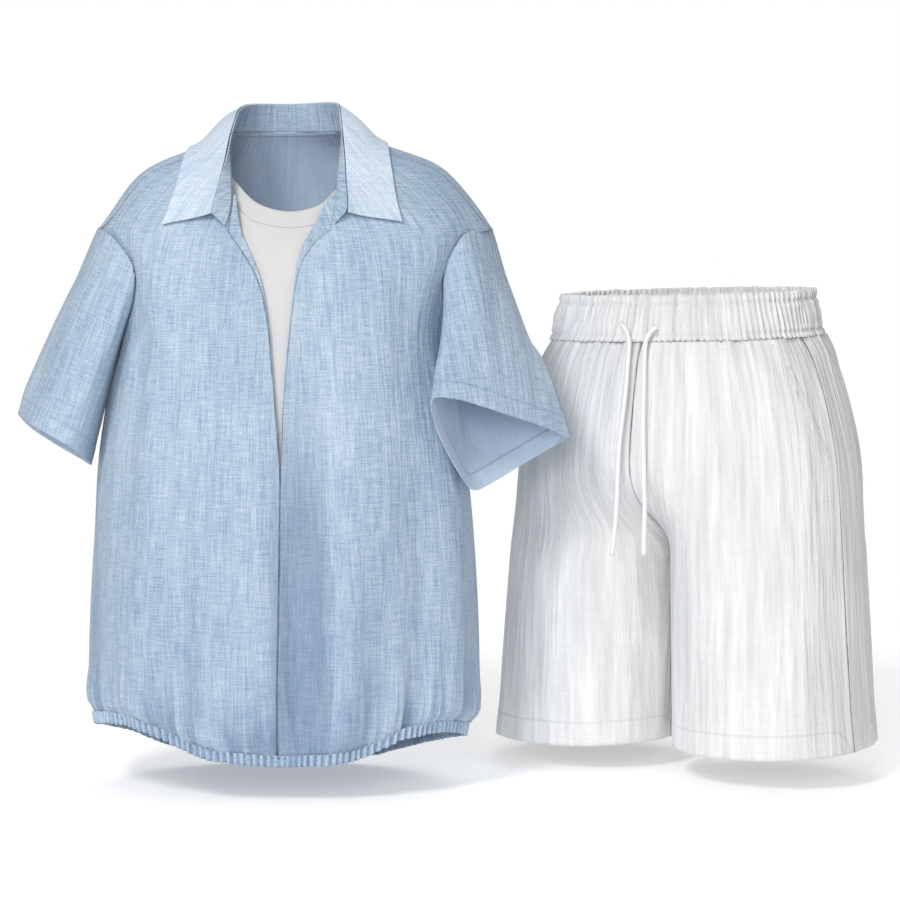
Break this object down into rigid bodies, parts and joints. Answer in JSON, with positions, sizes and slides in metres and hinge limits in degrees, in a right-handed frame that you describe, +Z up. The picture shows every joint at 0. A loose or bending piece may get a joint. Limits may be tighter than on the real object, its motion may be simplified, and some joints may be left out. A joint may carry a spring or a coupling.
{
  "type": "popover shirt and drawstring shorts set",
  "caption": "Loose short-sleeved popover shirt with a collar, a deep front slit over a mock tee and a gathered hem, beside loose drawstring shorts.",
  "frame": {"origin": "the middle of the back of the shirt's neck opening, at the neck seam", "axes": "+Z up, -Y the way the shirt faces, +X to the wearer's left, the viewer's right, where the shorts stand"},
  "size_m": [0.9633, 0.4252, 0.7517],
  "materials": {
    "chambray": "light blue crinkled woven cloth, matt, with fine slubs",
    "chambray_band": "the same light blue cloth gathered on elastic, matt",
    "white_jersey": "smooth white knit, matt",
    "white_crinkle": "white crinkled woven cloth, matt",
    "white_cord": "white woven round cord, matt"
  },
  "bodies": {
    "root": {"shirt_front_right": "chambray", "shirt_front_left": "chambray", "shirt_back": "chambray", "sleeve_right": "chambray", "sleeve_left": "chambray", "collar_stand": "chambray", "collar_fall": "chambray", "facing_right": "chambray", "facing_left": "chambray", "shirt_hem_band": "chambray_band", "tee_front": "white_jersey", "tee_neckband": "white_jersey", "shorts_front_right": "white_crinkle", "shorts_front_left": "white_crinkle", "shorts_back_right": "white_crinkle", "shorts_back_left": "white_crinkle", "shorts_waistband": "white_crinkle", "pocket_welt_right": "white_crinkle", "pocket_welt_left": "white_crinkle", "drawcord_right": "white_cord", "drawcord_left": "white_cord"}
  },
  "joints": []
}
